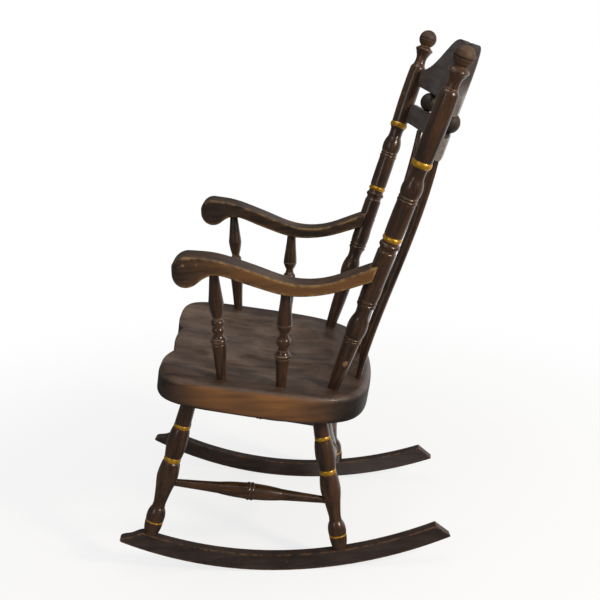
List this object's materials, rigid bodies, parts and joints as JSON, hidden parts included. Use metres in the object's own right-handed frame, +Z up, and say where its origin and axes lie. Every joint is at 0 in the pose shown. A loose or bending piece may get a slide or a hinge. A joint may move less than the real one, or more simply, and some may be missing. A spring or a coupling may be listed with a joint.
{
  "type": "rocking chair",
  "caption": "Wooden rocking chair with turned posts and ball finials, a bowed crest over small balls, scrolled arms, a saddle seat and curved rockers.",
  "frame": {"origin": "on the floor under the middle of the chair's overall width and depth", "axes": "+X to the sitter's left, +Y to the back, +Z up"},
  "size_m": [0.6182, 0.7536, 1.136],
  "materials": {
    "seat_wood": "worn satin lacquer over dark brown stain",
    "arm_wood": "worn satin lacquer, paler on the sides",
    "turned_wood": "gloss lacquer over dark brown stain, with thin gold painted rings",
    "rail_wood": "satin lacquer over dark brown stain",
    "rocker_wood": "dull lacquer over dark brown stain",
    "screw_steel": "plain"
  },
  "bodies": {
    "root": {"back_slat": "rail_wood", "crest_rail": "rail_wood", "front_stretcher": "turned_wood", "left_arm": "arm_wood", "left_arm_plug": "turned_wood", "left_arm_screw": "screw_steel", "left_back_post": "turned_wood", "left_front_arm_spindle": "turned_wood", "left_front_leg": "turned_wood", "left_inner_back_spindle": "turned_wood", "left_inner_gallery_ball": "turned_wood", "left_outer_back_spindle": "turned_wood", "left_outer_gallery_ball": "turned_wood", "left_rear_arm_spindle": "turned_wood", "left_rear_leg": "turned_wood", "left_rocker": "rocker_wood", "left_side_stretcher": "turned_wood", "rear_stretcher": "turned_wood", "right_arm": "arm_wood", "right_arm_plug": "turned_wood", "right_arm_screw": "screw_steel", "right_back_post": "turned_wood", "right_front_arm_spindle": "turned_wood", "right_front_leg": "turned_wood", "right_inner_back_spindle": "turned_wood", "right_inner_gallery_ball": "turned_wood", "right_outer_back_spindle": "turned_wood", "right_outer_gallery_ball": "turned_wood", "right_rear_arm_spindle": "turned_wood", "right_rear_leg": "turned_wood", "right_rocker": "rocker_wood", "right_side_stretcher": "turned_wood", "seat": "seat_wood"}
  },
  "joints": []
}
